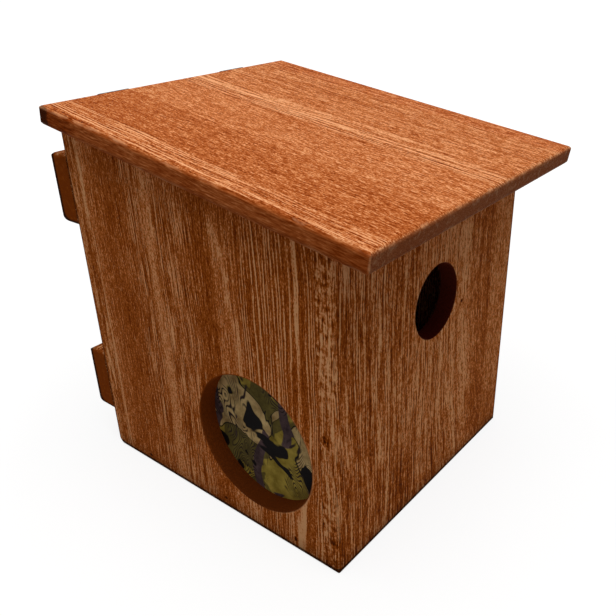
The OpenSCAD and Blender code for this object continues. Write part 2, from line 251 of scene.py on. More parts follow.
def grow(wood, staves, bands, drift, edge_tone, edge_calm):
    """The grain as one value, which rises from dark to pale. Each stave is (left edge, tone,
    warmth, seed). Each band is (place, tone, fibres, year lines) and wanders with the grain.
    edge_tone and edge_calm change the tone and the contrast on the upright edges."""
    tone, wood.warmth, seed = wood.from_edge_to_edge(wood.x, staves, "CONSTANT")
    shift = wood.times(seed, STAVE_SHIFT)
    wander = wood.layer(wood.streaks(0.010, 0.0045, 1), 14.0, -7.0)
    ripple = wood.layer(wood.streaks(0.06, 0.016, 2), 5.0, -2.5)
    swayed = wood.plus(wood.x, wood.plus(wander, ripple))
    if drift:
        swayed = wood.minus(swayed, lean_of_grain(wood, drift))
    band_tone, fibre_share, line_share = wood.from_edge_to_edge(swayed, bands)
    grain = wood.join(wood.plus(swayed, shift), wood.plus(wood.y, shift), wood.z)

    wood.fibres = wood.streaks(0.95, 0.02, 2, 0.6, grain)
    wood.pores = wood.streaks(0.85, 0.10, 2, 0.6, grain)
    wood.specks = wood.streaks(0.95, 0.42, 2, 0.7, grain)
    clouds = wood.streaks(0.03, 0.008, 3, vector=grain)
    years = wood.streaks(0.045, 0.0012, 2, vector=grain)
    turns = wood.layer(years, 9.0, wood.math("DIVIDE", swayed, YEAR_WIDTH))
    line = wood.ramp(wood.math("FRACT", turns),
                     [(0.0, 0.1), (0.30, 0.0), (0.52, 0.9), (0.60, 1.0), (0.72, 0.35), (1.0, 0.1)])
    vigour = wood.streaks(0.16, 0.012, 1, vector=grain)
    line = wood.times(line, wood.fit(vigour, 0.3, 0.65, 0.15, 1.1))

    calm = wood.fit(wood.facing[0], 0.5, 0.9, 1.0, edge_calm)
    line_weight = wood.times(wood.times(line_share, calm), LINE_WEIGHT)
    fibre_weight = wood.times(wood.times(fibre_share, calm), FIBRE_WEIGHT)
    speck_weight = wood.times(calm, SPECK_WEIGHT)
    value = wood.plus(tone, wood.minus(band_tone, 0.5))
    for part, mean, weight in ((line, 0.25, line_weight), (wood.fibres, 0.5, fibre_weight),
                               (wood.facing[0], 0.0, edge_tone), (wood.pores, 0.5, PORE_WEIGHT),
                               (wood.specks, 0.5, speck_weight), (clouds, 0.5, CLOUD_WEIGHT)):
        value = wood.layer(wood.minus(part, mean), weight, value)
    return value


print("weights of fibres, pores and specks:", FIBRE_WEIGHT, PORE_WEIGHT, SPECK_WEIGHT)

# %% [markdown]
# ## Flames, blisters and knots
# A board cut near the heart shows a flame: lines that meet in a pointed arch. On an edge that is
# cut across the years the grain breaks up in blisters. Knots, filled pin holes and a pale scar are
# single spots. These are figures of this box's own boards, so each has its place in millimetres.

# %% Figures and marks
def flame(wood, value, tip_x, tip_z, width):
    """The left half of a parabola that opens downwards, with a brighter rim."""
    beside = wood.larger(wood.minus(tip_x, wood.x), 0.0)
    inside = wood.minus(wood.times(wood.minus(tip_z, wood.z), width), wood.times(beside, beside))
    body = wood.times(wood.fit(inside, -20, 30), wood.math("LESS_THAN", wood.x, tip_x + 5))
    value = wood.layer(body, 0.20, value)
    return wood.layer(wood.times(body, wood.fit(inside, 90, 30)), 0.22, value)


def blistered(wood, value, strength):
    """Blotches on the upright edges, near their top and their foot."""
    blobs = wood.streaks(0.21, 0.21, 1)
    near_top = wood.fit(wood.z, 150, 180, 0, strength)
    near_foot = wood.fit(wood.z, 95, 70, 0, strength)
    reach = wood.times(wood.facing[0], wood.larger(near_top, near_foot))
    return wood.layer(wood.minus(blobs, 0.5), reach, value)


def marked(wood, value, marks):
    """Spots, each (axis, place, height, half width, half height, change of tone), where axis is
    0 for a spot that goes through the board and 1 for one that goes across it."""
    for axis, place, height, half_width, half_height, change in marks:
        spot = wood.near((wood.x, wood.y)[axis], place, height, half_width, half_height)
        value = wood.layer(wood.fit(spot, 1.0, 0.5), change, value)
    return value


print("figures:", flame.__name__, blistered.__name__, marked.__name__)

# %% [markdown]
# ## Stain, sawn ends and worn edges
# The stain is a reddish brown glaze, thin on hard summer wood, deep in the pores, and near black where
# it dries in round knots. The foot of the walls and the inside of the rounded ends are painted near
# black as shade. Sawn ends drink more stain and look chalky. Rubbing takes it off the sharp edges first.

# %% Stain on the grain
# Near black: dried stain in knots and pin holes, and painted shade at the foot and inside rounded ends.
DARK_STAIN_AND_SHADE = srgb(34, 14, 4)
REDDENING = (1.0, 0.84, 0.80, 1)
STAIN_DEPTHS = (0.0, 0.42, 0.72, 1.0)
# How much of the face's stain an end's own colours cover, then the end dark, light and chalky
CHALKY_ENDS = (0.8, srgb(82, 36, 14), srgb(172, 98, 60), srgb(184, 138, 104))
DARK_ENDS = (1.0, srgb(110, 46, 5), srgb(168, 78, 14), srgb(172, 86, 26))


def stained(wood, value, stain):
    """The stain's colours from deep to pale, and near black where the value is below 0: dried stain in knots and
    pin holes, and painted shade where a mark stands for shade.
    """
    colour = wood.ramp(value, list(zip(STAIN_DEPTHS, stain)))
    colour = wood.mix(wood.fit(value, 0.0, -0.6, 0.0, 0.8), colour, DARK_STAIN_AND_SHADE)
    return wood.mix(wood.warmth, colour, wood.mix(1.0, colour, REDDENING, "MULTIPLY"))


def with_sawn_ends(wood, colour, ends):
    """The board's two ends, where the fibres are cut through."""
    cover, dark, light, chalky = ends
    end = wood.fit(wood.facing[2], 0.65, 0.9)
    chalk = wood.fit(wood.streaks(0.22, 0.22, 4), 0.53, 0.66)
    sawn = wood.mix(wood.specks, dark, light)
    sawn = wood.mix(wood.times(chalk, 0.55), sawn, chalky)
    return wood.mix(wood.times(end, cover), colour, sawn)


print("gathered stain in linear values:", [round(value, 4) for value in DARK_STAIN_AND_SHADE])

# %% Holes, worn edges and painted shade
def with_hole(wood, colour, pale, hole):
    """The wall of a hole (x, z, radius, colour low down, colour high up), painted dark as shade, and
    a pale rim on its left half as a painted highlight. Also returns where the wall is."""
    x, z, radius, low, high = hole
    reach = wood.near(wood.x, x, z, radius, radius)
    # Painted highlight: a pale rim on the left half of the hole's edge.
    rim = wood.times(wood.fit(reach, 1.04, 1.02), wood.fit(wood.x, x, x - radius, 0.0, 0.4))
    wall = wood.fit(reach, 1.025, 1.01)
    # Painted shade: the wall runs from the dark colour low down to the lighter one high up.
    shade = wood.layer(wood.minus(wood.specks, 0.5), 1.2, wood.fit(wood.z, z - radius, z + radius))
    colour = wood.mix(rim, colour, pale)
    return wood.mix(wall, colour, wood.mix(shade, low, high)), wall


def worn_edges_and_painted_hole(wood, colour, pale, hole):
    """Edges rubbed pale in patches, but not a hole's own edge. A hole gets its painted shade and painted highlight
    from with_hole.
    """
    flattest = wood.larger(wood.larger(wood.facing[0], wood.facing[1]), wood.facing[2])
    edge = wood.fit(flattest, 0.97, 0.80)
    if hole:
        colour, wall = with_hole(wood, colour, pale, hole)
        edge = wood.times(edge, wood.minus(1.0, wall))
    patches = wood.fit(wood.streaks(0.12, 0.05, 4), 0.50, 0.64)
    return wood.mix(wood.times(wood.times(edge, patches), 0.5), colour, pale)


def with_painted_shade(wood, colour, foot, outline):
    """Painted shade: a dark line below the height foot, a slight darkening over the lowest 19 mm, and a
    dark band on left and right ends just inside the rounded outline (back, bottom, radius)."""
    _, depth, height = wood.split(wood.place(scale=TO_MM))
    shaded = 0.0
    if foot:
        # Painted shade: a dark line at the foot and a slight darkening over the lowest 19 mm.
        shaded = wood.larger(wood.fit(height, foot, foot - 1.6), wood.fit(height, 19, 5, 0, 0.36))
    if outline:
        back, bottom, radius = outline
        a = wood.larger(wood.minus(depth, back - radius), 0.0)
        b = wood.larger(wood.minus(bottom + radius, height), 0.0)
        outside = wood.minus(wood.math("SQRT", wood.layer(a, a, wood.times(b, b))), radius)
        normal_x = wood.split(wood.add("TexCoord").outputs["Normal"])[0]
        sideways = wood.math("ABSOLUTE", normal_x)
        # Painted shade: a dark band just inside the rounded outline.
        band = wood.times(wood.fit(outside, -7.5, -5.5), wood.fit(sideways, 0.3, 0.6))
        shaded = wood.larger(shaded, band)
    return wood.mix(wood.times(shaded, 0.9), colour, DARK_STAIN_AND_SHADE)


# The dark at the foot and inside the rounded ends is painted shade.
print("stain dries dark at the foot and inside rounded ends")

# %% A whole board
MATT_SPECULAR = 0.005


def timber(node, name, turn, staves, bands, stain, drift=None, edge_tone=0.0, edge_calm=1.0,
           arch=None, blister=0.0, marks=(), ends=CHALKY_ENDS, hole=None, foot=None, outline=None):
    """Gives a CAD board a stained material of its own. turn lays the board's own axes, the bands
    reach from its left to its right edge, and the functions above explain the other values."""
    wood = Wood(name, turn, edges=(bands[0][0], bands[-1][0]))
    value = grow(wood, staves, bands, drift, edge_tone, edge_calm)
    if arch:
        value = flame(wood, value, *arch)
    if blister:
        value = blistered(wood, value, blister)
    value = marked(wood, value, marks)
    colour = with_sawn_ends(wood, stained(wood, value, stain), ends)
    colour = worn_edges_and_painted_hole(wood, colour, stain[-1], hole)
    colour = with_painted_shade(wood, colour, foot, outline)
    roughness = wood.fit(wood.pores, 0.3, 0.7, 0.46, 0.62)
    wood.surface(colour, roughness, **{"Specular IOR Level": MATT_SPECULAR})
    wood.bump(wood.layer(wood.pores, 0.6, wood.fibres), 0.3, 0.0004)
    dress(nodes[node], wood.owner)
    print("timber:", name, "on", node, "staves:", len(staves), "nodes:", len(wood.nodes))


# %% [markdown]
# ## The roof board
# The roof gets the most light and the thinnest stain, so it is the palest board. Its five staves
# run from back to front. Fine year lines crowd beside the glue line in the middle, and the rounded
# side edges are darker and calmer, with painted shade at the back end of the left one.

# %% Roof
SLOPE = math.radians(9.2764)
ROOF_GRAIN = (math.pi / 2 - SLOPE, 0, 0)
ROOF_STAIN = (srgb(148, 62, 13), srgb(192, 102, 48), srgb(225, 140, 83), srgb(255, 184, 131))
roof_staves = [
    (-154, 0.56, 0.1, 0.1), (-128, 0.40, 0.1, 0.3), (-63, 0.52, 0.1, 0.5), (5, 0.55, 0.0, 0.7),
    (124, 0.50, 0.4, 0.9)]
roof_bands = [
    (-154, 0.50, 0.5, 0.7), (-130, 0.56, 0.5, 0.7), (-125, 0.46, 0.1, 0.0), (-100, 0.50, 0.1, 0.0),
    (-66, 0.54, 0.1, 0.0), (-60, 0.54, 0.1, 0.0), (2, 0.50, 0.15, 0.0), (6, 0.36, 0.4, 0.4),
    (9, 0.76, 0.4, 0.6), (13, 0.44, 0.5, 1.0), (23, 0.76, 0.5, 1.0), (36, 0.62, 0.4, 0.6),
    (43, 0.46, 0.2, 0.1), (80, 0.50, 0.3, 0.3), (95, 0.43, 0.3, 0.3), (110, 0.50, 0.3, 0.3),
    (130, 0.50, 0.3, 0.3), (154, 0.44, 0.3, 0.2)]
# The first two marks darken the back end of the left edge as painted shade.
roof_marks_and_shade = [
    (0, -154, 208, 3, 13, -1.4), (0, -154, 186, 2.4, 30, -0.3), (0, -154, -140, 2.4, 48, -0.15)]
timber("roof_panel", "stained_roof", ROOF_GRAIN, roof_staves, roof_bands, ROOF_STAIN,
       edge_tone=-0.24, edge_calm=0.1, marks=roof_marks_and_shade)

# %% [markdown]
# ## The side with the window
# The grain of the walls stands upright, which sheds water. This side has three staves. A flame
# rises over the window, a pale streak lies along the rear glue line, and three dark pin holes sit
# at the height of the floor board. A dark line along the foot is painted shade.

# %% Window side
SIDE_GRAIN = (0, 0, -math.pi / 2)
WALL_STAIN = (srgb(144, 63, 7), srgb(184, 96, 29), srgb(232, 138, 73), srgb(255, 191, 134))
# The height in mm below which the walls get a painted shade line at the foot.
SHADED_FOOT_HEIGHT = 6.4
side_staves = [(-150, 0.50, 0.2, 0.2), (-30, 0.50, 0.2, 0.6), (50, 0.49, 0.25, 0.4)]
side_bands = [
    (-150, 0.42, 0.3, 0.8), (-116.5, 0.47, 0.3, 1.0), (-114.5, 0.58, 0.3, 1.0),
    (-112.5, 0.48, 0.3, 1.0), (-62, 0.46, 0.3, 1.0), (-52, 0.40, 0.3, 0.6), (-30, 0.38, 0.3, 0.1),
    (-29, 0.28, 0.3, 0.1), (-12, 0.28, 0.4, 0.1), (0, 0.40, 0.6, 0.2), (5, 0.50, 0.7, 0.3),
    (35, 0.48, 0.7, 0.3), (38, 0.64, 0.4, 0.1), (44, 0.80, 0.2, 0.0), (49, 0.72, 0.2, 0.0),
    (52, 0.44, 0.6, 0.2), (66, 0.50, 0.7, 0.3), (76, 0.36, 0.5, 0.1), (100, 0.34, 0.3, 0.0),
    (118, 0.48, 0.3, 0.0), (126, 0.62, 0.3, 0.0), (150, 0.50, 0.5, 0.0)]
side_marks = [
    (0, -13.6, 38.7, 2.2, 1.6, 0.6), (0, -34.9, 26.4, 2.0, 1.4, 0.6), (0, 126.4, 110, 1.5, 150, 0.45),
    (0, -120, 20, 70, 70, 0.1), (0, 94.5, 9, 2.4, 2.4, -1.2), (0, -16.5, 11.5, 2.2, 2.2, -1.1),
    (0, -102.5, 12, 1.9, 3.0, -1.3)]
# The window's wall colours, darker low down, are painted shade.
window_hole = (WINDOW_Y, WINDOW_Z, WINDOW_RADIUS, srgb(88, 40, 11), srgb(165, 80, 26))
timber("left_side_panel", "stained_window_side", SIDE_GRAIN, side_staves, side_bands, WALL_STAIN,
       arch=(-35, 292, 2.9), marks=side_marks, hole=window_hole, foot=SHADED_FOOT_HEIGHT)

# %% [markdown]
# ## The plain side
# The other side is cut from the same stock, with its glue lines in other places, as no two boards
# are alike. Copying the first side's figure would show at once with the roof open.

# %% Plain side
plain_staves = [(-150, 0.48, 0.1, 0.15), (-44, 0.54, 0.0, 0.75), (61, 0.46, 0.2, 0.35)]
plain_bands = [
    (-150, 0.50, 0.4, 0.5), (-96, 0.40, 0.3, 0.2), (-70, 0.66, 0.3, 0.3), (-46, 0.48, 0.4, 0.8),
    (10, 0.46, 0.5, 0.8), (34, 0.70, 0.2, 0.2), (60, 0.50, 0.5, 0.4), (98, 0.40, 0.6, 0.9),
    (150, 0.52, 0.4, 0.7)]
timber("right_side_panel", "stained_plain_side", SIDE_GRAIN, plain_staves, plain_bands,
       WALL_STAIN, foot=SHADED_FOOT_HEIGHT)

# %% [markdown]
# ## The front
# The front's broad middle stave leans: its bands run to the right as they go down and stop at the
# glue line near the right edge. A pin knot sits beside the entrance, a round knot shows on the
# left edge, and that edge is blistered near its top and its foot.

# %% Front
WALL_GRAIN = (0, 0, 0)
front_staves = [(-140, 0.58, 0.1, 0.2), (-88, 0.56, 0.1, 0.4), (100, 0.62, 0.0, 0.8)]
front_bands = [
    (-140, 0.46, 0.6, 0.5), (-65, 0.46, 0.6, 0.5), (-55, 0.38, 0.6, 0.4), (-42, 0.50, 0.6, 0.4),
    (-28, 0.46, 0.6, 0.3), (-23, 0.68, 0.5, 0.2), (-16, 0.46, 0.6, 0.2), (-8, 0.62, 0.5, 0.2),
    (0, 0.38, 0.6, 0.2), (6, 0.50, 0.6, 0.2), (11, 0.70, 0.5, 0.2), (17, 0.54, 0.5, 0.2),
    (27, 0.60, 0.4, 0.2), (32, 0.68, 0.5, 0.2), (36, 0.42, 0.5, 0.1), (42, 0.66, 0.3, 0.0),
    (48, 0.76, 0.3, 0.0), (54, 0.60, 0.3, 0.0), (60, 0.47, 0.3, 0.1), (72, 0.38, 0.3, 0.0),
    (84, 0.33, 0.3, 0.0), (99, 0.32, 0.3, 0.0), (100, 0.46, 0.1, 0.0), (140, 0.48, 0.1, 0.0)]
# Two of these marks are painted shade: the broad one centred at the foot makes the front darker towards the
# bottom, and the long narrow one at x 138 is a dark line along the right edge.
front_marks_and_shade = [
    (0, 44.3, 181.8, 2.4, 2.4, -1.5), (0, 44.3, 181.8, 5.0, 9.0, -0.15),
    (0, 94.8, 130.9, 2.0, 1.5, 0.4), (0, -129, 56, 1.6, 4.0, -0.5), (0, 138, 145, 4.5, 600, -0.5),
    (0, 0, 0, 400, 85, -0.18), (1, -139, 132.5, 4.6, 5.6, -0.9), (1, -139, 132.5, 3.4, 4.4, 0.7),
    (1, -139, 132.5, 1.6, 1.8, -0.8), (1, -134, 145, 0.9, 160, -0.5)]
# The entrance's dark wall colours are painted shade.
entrance_hole = (ENTRANCE_X, ENTRANCE_Z, ENTRANCE_RADIUS, srgb(60, 14, 8), srgb(116, 46, 26))
timber("front_panel", "stained_front", WALL_GRAIN, front_staves, front_bands, WALL_STAIN,
       drift=(-25, 95, 165, 5, 26), edge_tone=0.08, blister=2.2, marks=front_marks_and_shade,
       hole=entrance_hole, foot=SHADED_FOOT_HEIGHT)

# %% [markdown]
# ## The back, the cleats and the floor
# The cleats carry the box on its wall, so their grain runs along them, the way that wood is
# strongest. Cleats and floor are cheaper stock under a darker coat. A dark band of painted shade
# runs just inside the rounded ends of the back and the cleats, and along the foot of the back.

# %% Back, cleats and floor
CLEAT_GRAIN = (0, -math.pi / 2, 0)
FLOOR_GRAIN = (math.pi / 2, 0, 0)
CLEAT_STAIN = (srgb(112, 48, 8), srgb(160, 82, 28), srgb(204, 120, 62), srgb(244, 188, 134))
END_RADIUS = 14
back_staves = [(-140, 0.50, 0.1, 0.65), (-52, 0.46, 0.2, 0.25), (47, 0.52, 0.0, 0.85)]
back_bands = [
    (-140, 0.50, 0.3, 0.6), (-90, 0.60, 0.2, 0.2), (-60, 0.44, 0.3, 0.4), (-20, 0.50, 0.3, 0.9),
    (30, 0.62, 0.2, 0.3), (70, 0.46, 0.3, 0.7), (140, 0.5, 0.3, 0.4)]
cleat_staves = [(-340, 0.40, 0.1, 0.45), (-180, 0.40, 0.1, 0.95)]
cleat_bands = [(-340, 0.54, 0.2, 0.5), (0, 0.54, 0.2, 0.5)]
timber("back_panel", "stained_back", WALL_GRAIN, back_staves, back_bands, WALL_STAIN,
       edge_tone=0.02, foot=SHADED_FOOT_HEIGHT, outline=(153.5, -50, END_RADIUS))
for cleat, bottom in (("upper_cleat", 244.5), ("lower_cleat", 40.0)):
    timber(cleat, "stained_" + cleat, CLEAT_GRAIN, cleat_staves, cleat_bands, CLEAT_STAIN,
           ends=DARK_ENDS, outline=(176, bottom, END_RADIUS))
timber("floor_panel", "stained_floor", FLOOR_GRAIN, back_staves, back_bands, CLEAT_STAIN)

# %% [markdown]
# ## The printed sheet behind the window
# A thin board is screwed to the inside of the left panel and closes the round window. It is
# printed with camouflage: soft-cornered blotches in olive, tan, plum grey and near black, with
# thin twiggy lines. Each colour is a noise of its own cut at a level, laid over the one before,
# so the blotches overlap like stencils. Contour lines of another noise make the twigs.

# %% Camouflage print
SOOT = srgb(16, 12, 12)
TAN_LEVEL = 0.545
TWIG_LINES = 34.0


def camouflage(name):
    tree = Tree(name)
    spot = tree.place(scale=TO_MM)
    tall = tree.place(scale=(1000, 1300, 700))

    def blotch(level, seed, scale, vector=spot):
        """A noise, and the patches with a crisp edge where it rises over a level."""
        moved = tree.add("VectorMath", [vector, (seed, 3.1 * seed, -seed)], operation="ADD")
        height = tree.noise(moved.outputs[0], scale=scale, roughness=0.4, distortion=0.9)
        return height, tree.fit(height, level, level + 0.012)

    shade = tree.fit(tree.noise(spot, scale=0.05, detail=5, roughness=0.65), 0.32, 0.68)
    olive = tree.mix(shade, srgb(66, 56, 28), srgb(140, 124, 64))
    moss = tree.mix(shade, srgb(126, 104, 34), srgb(208, 182, 84))
    tan = tree.mix(shade, srgb(150, 114, 66), srgb(255, 222, 156))
    plum = tree.mix(shade, srgb(52, 38, 42), srgb(112, 90, 90))
    _, mossy = blotch(0.47, 40.0, 0.021)
    tan_height, sandy = blotch(TAN_LEVEL, 230.0, 0.020)
    _, plummy = blotch(0.59, 410.0, 0.022, tall)
    _, sooty = blotch(0.60, 640.0, 0.022)
    colour = tree.mix(mossy, olive, moss)
    colour = tree.mix(sandy, colour, tan)
    rim = tree.math("ABSOLUTE", tree.minus(tan_height, TAN_LEVEL - 0.003))
    colour = tree.mix(tree.fit(rim, 0.010, 0.004), colour, SOOT)
    colour = tree.mix(plummy, colour, plum)

    hills = tree.noise(tall, scale=0.014, detail=1, roughness=0.4, distortion=2.0)
    contour = tree.math("FRACT", tree.times(hills, TWIG_LINES))
    line = tree.fit(tree.math("ABSOLUTE", tree.minus(contour, 0.5)), 0.26, 0.12)
    broken = tree.fit(tree.noise(spot, scale=0.024, detail=3), 0.46, 0.52)
    colour = tree.mix(tree.times(line, broken), colour, srgb(52, 40, 38))
    colour = tree.mix(sooty, colour, SOOT)
    weave = tree.noise(spot, scale=2.2, detail=3)
    tree.surface(colour, tree.fit(weave, 0.3, 0.7, 0.62, 0.74), **{"Specular IOR Level": 0.04})
    tree.bump(weave, 0.15, 0.0002)
    print("print:", name, "nodes:", len(tree.nodes))
    return tree.owner


PRINT = camouflage("camouflage_print")

# %% [markdown]
# ## Steel and beech
# The butt hinges are painted plum black. Their screws are blackened, and those of the cleats and
# the sheet are zinc plated. All are steel with a fine mottle, a few rubbed patches and thin
# scratches, so one function makes them. Dowels are bare beech, pale and dotted with the short
# dark rays that tell beech from other woods.

# %% Metal finishes
def metal(name, dull, body, rubbed, wear, rough, metallic):
    """Painted or plated steel. wear is the level of noise over which the rubbed colour shows."""
    tree = Tree(name)
    spot = tree.place(scale=TO_MM)
    mottle = tree.noise(spot, scale=0.8, detail=5, roughness=0.6)
    rub = tree.noise(spot, scale=0.22, detail=6, roughness=0.7)
    scratch = tree.noise(tree.place(turn=(0.4, 0.3, 0.9), scale=(3000, 150, 3000)))
    rubbed_off = tree.fit(tree.layer(scratch, 0.25, rub), wear, wear + 0.08)
    colour = tree.mix(tree.fit(mottle, 0.3, 0.7), dull, body)
    roughness = tree.fit(tree.plus(mottle, scratch), 0.7, 1.3, rough, rough + 0.18)
    tree.surface(tree.mix(rubbed_off, colour, rubbed), roughness, Metallic=metallic)
    tree.bump(tree.layer(scratch, 0.5, mottle), 0.2, 0.0001)
    return tree.owner


HINGE_PAINT = metal("hinge_paint", srgb(30, 22, 28), srgb(46, 34, 42), srgb(112, 96, 96),
                    wear=0.74, rough=0.36, metallic=0.3)
BLACKENED = metal("blackened_steel", srgb(34, 31, 32), srgb(62, 57, 56), srgb(140, 132, 124),
                  wear=0.70, rough=0.34, metallic=0.7)
ZINC = metal("zinc_plate", srgb(150, 146, 136), srgb(196, 192, 180), srgb(222, 216, 196),
             wear=0.66, rough=0.28, metallic=1.0)
print("metals:", HINGE_PAINT.name, BLACKENED.name, ZINC.name)

# %% Beech finish
def beech(name, turn):
    """Bare beech, its fibres along Z after the turn."""
    tree = Tree(name)
    grain = tree.place(turn=turn, scale=TO_MM)
    fibre = tree.noise(tree.place(scale=(1.2, 1.2, 0.04), vector=grain), detail=3)
    ray = tree.noise(tree.place(scale=(1.6, 1.6, 0.45), vector=grain), detail=1)
    colour = tree.mix(tree.fit(fibre, 0.3, 0.7), srgb(196, 152, 106), srgb(232, 196, 152))
    colour = tree.mix(tree.fit(ray, 0.60, 0.66, 0.0, 0.6), colour, srgb(142, 92, 56))
    tree.surface(colour, tree.fit(fibre, 0.3, 0.7, 0.55, 0.75))
    tree.bump(fibre, 0.3, 0.0002)
    return tree.owner


BEECH_ALONG_Y = beech("beech_along_y", (math.pi / 2, 0, 0))
BEECH_ALONG_X = beech("beech_along_x", (0, -math.pi / 2, 0))
print("beech:", BEECH_ALONG_Y.name, BEECH_ALONG_X.name)

# %% [markdown]
# ## Shaping small pieces by hand
# Hinges, screws and dowels are shaped as one would at the screen: a primitive, then edit mode.
# They are drawn in millimetres, which keeps the numbers easy to read, and shrunk to metres when
# they are put in their places. Selections are made in code, by the place of an edge or a face.

# %% Helpers for edit mode
def start(kind, name, **size):
    """Adds a primitive, alone in the selection, and enters edit mode with all its points picked."""
    bpy.ops.object.select_all(action="DESELECT")
    getattr(bpy.ops.mesh, f"primitive_{kind}_add")(**size)
    bpy.ops.object.transform_apply(location=True, rotation=True, scale=True)
    bpy.context.object.name = name
    bpy.ops.object.mode_set(mode="EDIT")
    bpy.ops.mesh.select_mode(type="VERT")
    return bpy.context.object


def pick(kind, test):
    """In edit mode, selects the points, edges or faces that pass a test."""
    bpy.ops.mesh.select_all(action="DESELECT")
    bpy.ops.mesh.select_mode(type=kind)
    mesh = bpy.context.edit_object.data
    shape = bmesh.from_edit_mesh(mesh)
    for part in {"VERT": shape.verts, "EDGE": shape.edges, "FACE": shape.faces}[kind]:
        if test(part):
            part.select_set(True)
    shape.select_flush_mode()
    bmesh.update_edit_mesh(mesh)


def middle(part):
    """The middle of an edge or a face."""
    return sum((point.co for point in part.verts), Vector()) / len(part.verts)


def pull(x, y, z):
    """Extrudes the selected faces by a step."""
    bpy.ops.mesh.extrude_region_move(TRANSFORM_OT_translate={"value": (x, y, z)})


def close_up():
    """Merges doubled points and turns all faces outwards, then leaves edit mode."""
    bpy.ops.mesh.select_all(action="SELECT")
    bpy.ops.mesh.remove_doubles(threshold=0.002)
    bpy.ops.mesh.normals_make_consistent(inside=False)
    bpy.ops.object.mode_set(mode="OBJECT")


def turned(name, profile, steps=32):
    """A lathe: a point is drawn out along (radius, height) points and spun round Z."""
    piece = start("plane", name, size=1)
    bpy.ops.mesh.merge(type="CENTER")
    bpy.ops.transform.translate(value=(profile[0][0], 0, profile[0][1]))
    for before, after in zip(profile, profile[1:]):
        step = (after[0] - before[0], 0, after[1] - before[1])
        bpy.ops.mesh.extrude_vertices_move(TRANSFORM_OT_translate={"value": step})
    bpy.ops.mesh.select_all(action="SELECT")
    bpy.ops.mesh.spin(steps=steps, angle=2 * math.pi, center=(0, 0, 0), axis=(0, 0, 1))
    close_up()
    return piece


print("helpers for edit mode:", start.__name__, pick.__name__, pull.__name__, turned.__name__)

# %% Helpers for whole pieces
def take(piece):
    """Makes a piece the active one, alone in the selection."""
    bpy.ops.object.select_all(action="DESELECT")
    piece.select_set(True)
    bpy.context.view_layer.objects.active = piece


def finish_with(piece, kind, **settings):
    """Adds a modifier and applies it."""
    bpy.context.view_layer.objects.active = piece
    modifier = piece.modifiers.new(kind.lower(), kind)
    for setting, value in settings.items():
        setattr(modifier, setting, value)
    bpy.ops.object.modifier_apply(modifier=modifier.name)


def soften(piece, width):
    """A narrow bevel on every sharp edge."""
    finish_with(piece, "BEVEL", width=width, segments=2, limit_method="ANGLE",
                angle_limit=math.radians(50))


def cut(piece, cutter):
    """Takes the cutter's shape out of the piece, and throws the cutter away."""
    finish_with(piece, "BOOLEAN", object=cutter, solver="EXACT")
    bpy.data.objects.remove(cutter)


def smooth(piece, angle=35):
    """Smooth shading, except across edges sharper than the angle."""
    take(piece)
    bpy.ops.object.shade_smooth_by_angle(angle=math.radians(angle))


def move(piece, place, turn=(0, 0, 0), scale=1.0):
    """Turns, scales and moves a piece, and keeps that in its mesh."""
    piece.rotation_euler = turn
    piece.scale = (scale, scale, scale)
    piece.location = [scale * value for value in place]
    take(piece)
    bpy.ops.object.transform_apply(location=True, rotation=True, scale=True)


def fit_copy(model, name, place, turn, material, body, node):
    """A copy of a model in its place, standing for a CAD node."""
    piece = model.copy()
    piece.data = model.data.copy()
    piece.name = name
    bpy.context.scene.collection.objects.link(piece)
    move(piece, place, turn, MM)
    dress(piece, material)
    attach(piece, body)
    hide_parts(node)


def box_mm(node):
    """A CAD node's lowest and highest corner in millimetres."""
    return [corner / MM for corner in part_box(node)]


def spread(low, high, inset, count):
    """Even places between two ends. The first and the last lie an inset away from them."""
    return [low + inset + k / (count - 1) * (high - low - 2 * inset) for k in range(count)]


print("the left side panel, in mm:", [tuple(round(v, 1) for v in c) for c in box_mm("left_side_panel")])

# %% [markdown]
# ## Hinge leaves
# Each leaf of a butt hinge is one strip of 1.5 mm steel. Slots cut in its edge leave tongues,
# and each tongue is curled round the pin into a knuckle, so a seam shows where its end comes
# back to the plate. The tongues of the roof's leaf fill the slots of the other. A spin copies
# that bending exactly. Separate tubes on a plate would be quicker, but would lack the seam.

# %% Sizes of the hinges
SIDES = ("left", "right")
AXIS_Y, AXIS_Z = (frame["joints"][0]["pos_m"][k] / MM for k in (1, 2))
LEAF_LOW, LEAF_HIGH = box_mm("left_lower_leaf")
HINGE_WIDTH = LEAF_HIGH.x - LEAF_LOW.x
HINGE_PLACES = [sum(box_mm(f"{side}_lower_leaf"), Vector()).x / 2 for side in SIDES]
LEAF_THICK = 1.5
LEAF_CORNER = 3
BARREL_RADIUS = LEAF_HIGH.y - AXIS_Y
ROOF_LEAF_RISE = 17.3
KNUCKLES = 5
KNUCKLE_GAP = 0.3
KNUCKLE_CURL = math.radians(292)
SCREW_DROP = 12.0
SCREW_REACH = 12.0
SMALL_SCREW = 1.5
print("hinges:", round(HINGE_WIDTH, 2), "wide at x", [round(x, 2) for x in HINGE_PLACES])

# %% Leaves with curled knuckles
def countersink(radius, place, turn):
    """The cutter for a screw hole: a cone down to the shank, then straight on."""
    cutter = turned("countersink", [(0, 1), (2 * radius + 1, 1), (radius, -radius),
                                    (radius, -4), (0, -4)])
    move(cutter, place, turn)
    return cutter


